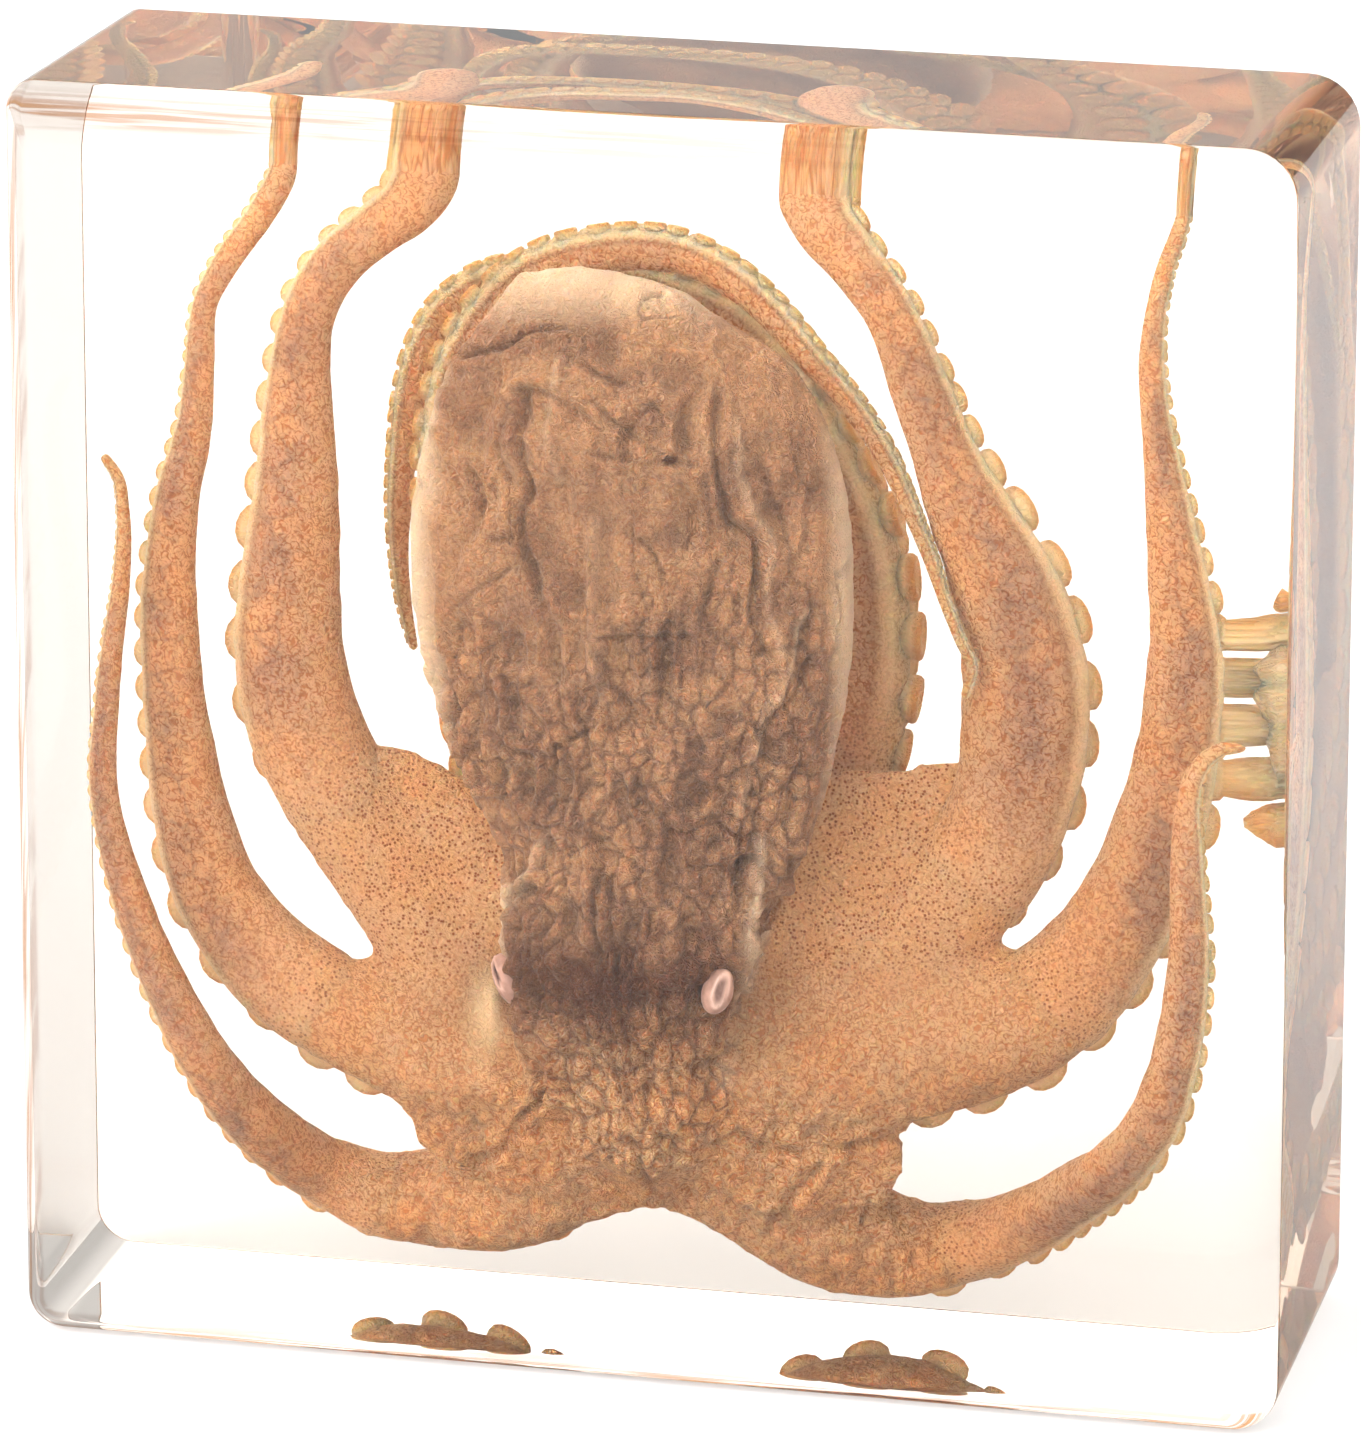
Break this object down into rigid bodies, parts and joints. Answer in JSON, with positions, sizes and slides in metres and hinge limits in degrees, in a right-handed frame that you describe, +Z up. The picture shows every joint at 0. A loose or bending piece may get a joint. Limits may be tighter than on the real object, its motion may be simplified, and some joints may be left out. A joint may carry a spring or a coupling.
{
  "type": "octopus in resin block",
  "caption": "Small preserved octopus, head down with its arms swept up round the mantle, cast in a clear upright square resin block that stands on a narrow face.",
  "frame": {"origin": "middle of the footprint, on the surface that the block stands on", "axes": "+Z up; -Y is the side that the octopus's mantle faces, the block's front; +X to the right seen from the front"},
  "size_m": [0.11, 0.0382, 0.11],
  "materials": {
    "clear_resin": "polished clear cast resin",
    "octopus_skin": "wrinkled greyish brown skin, set in resin",
    "octopus_arm": "tan orange skin with a grey mottled ridge and pale suckers"
  },
  "bodies": {
    "root": {"resin_front_half": "clear_resin", "resin_back_half": "clear_resin", "mantle_head_and_web": "octopus_skin", "arm_left_1": "octopus_arm", "arm_left_2": "octopus_arm", "arm_left_3": "octopus_arm", "arm_left_4": "octopus_arm", "arm_right_1": "octopus_arm", "arm_right_2": "octopus_arm", "arm_right_3": "octopus_arm", "arm_right_4": "octopus_arm"}
  },
  "joints": []
}
